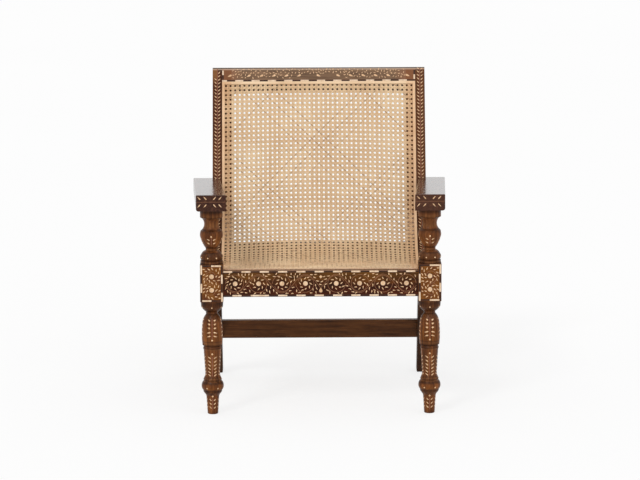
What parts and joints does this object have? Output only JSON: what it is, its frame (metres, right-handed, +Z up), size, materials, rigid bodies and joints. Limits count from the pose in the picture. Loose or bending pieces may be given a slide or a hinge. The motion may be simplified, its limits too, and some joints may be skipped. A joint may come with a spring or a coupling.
{
  "type": "lounge chair",
  "caption": "Low armchair with turned front posts, raked square rear legs, broad sloping arms, a continuous curved cane seat and back, and bone and horn inlay.",
  "frame": {"origin": "middle of the bounding box's base, on the floor", "axes": "+X to the right seen from the front, +Y from front to back, +Z up; the sitter faces -Y"},
  "size_m": [0.735, 0.7042, 0.9005],
  "materials": {
    "carved_wood": "oiled reddish brown hardwood, satin",
    "arm_wood": "polished dark brown hardwood",
    "plain_wood": "plain dark brown hardwood, satin",
    "peg_wood": "end grain, oiled",
    "bone": "polished cream bone",
    "horn": "polished black-brown horn",
    "woven_cane": "open woven natural cane",
    "binding_cane": "flat natural binding cane"
  },
  "bodies": {
    "root": {"arm_peg_left": "peg_wood", "arm_peg_right": "peg_wood", "armrest_left": "arm_wood", "armrest_right": "arm_wood", "back_stile_left": "carved_wood", "back_stile_right": "carved_wood", "block_bone_inlay_left": "bone", "block_bone_inlay_right": "bone", "block_horn_slips_left": "horn", "block_horn_slips_right": "horn", "cane_binding_front": "binding_cane", "cane_binding_left": "binding_cane", "cane_binding_right": "binding_cane", "cane_binding_top": "binding_cane", "cane_panel": "woven_cane", "front_post_left": "carved_wood", "front_post_right": "carved_wood", "front_rail": "carved_wood", "front_rail_bone_slips": "bone", "front_rail_flowers": "bone", "front_rail_horn_slips": "horn", "lap_pegs_left": "peg_wood", "lap_pegs_right": "peg_wood", "rear_leg_left": "plain_wood", "rear_leg_right": "plain_wood", "rear_seat_rail": "plain_wood", "rear_stretcher": "plain_wood", "seat_side_rail_left": "carved_wood", "seat_side_rail_right": "carved_wood", "top_rail": "carved_wood", "top_rail_bone_slips": "bone", "top_rail_horn_slips": "horn"}
  },
  "joints": []
}
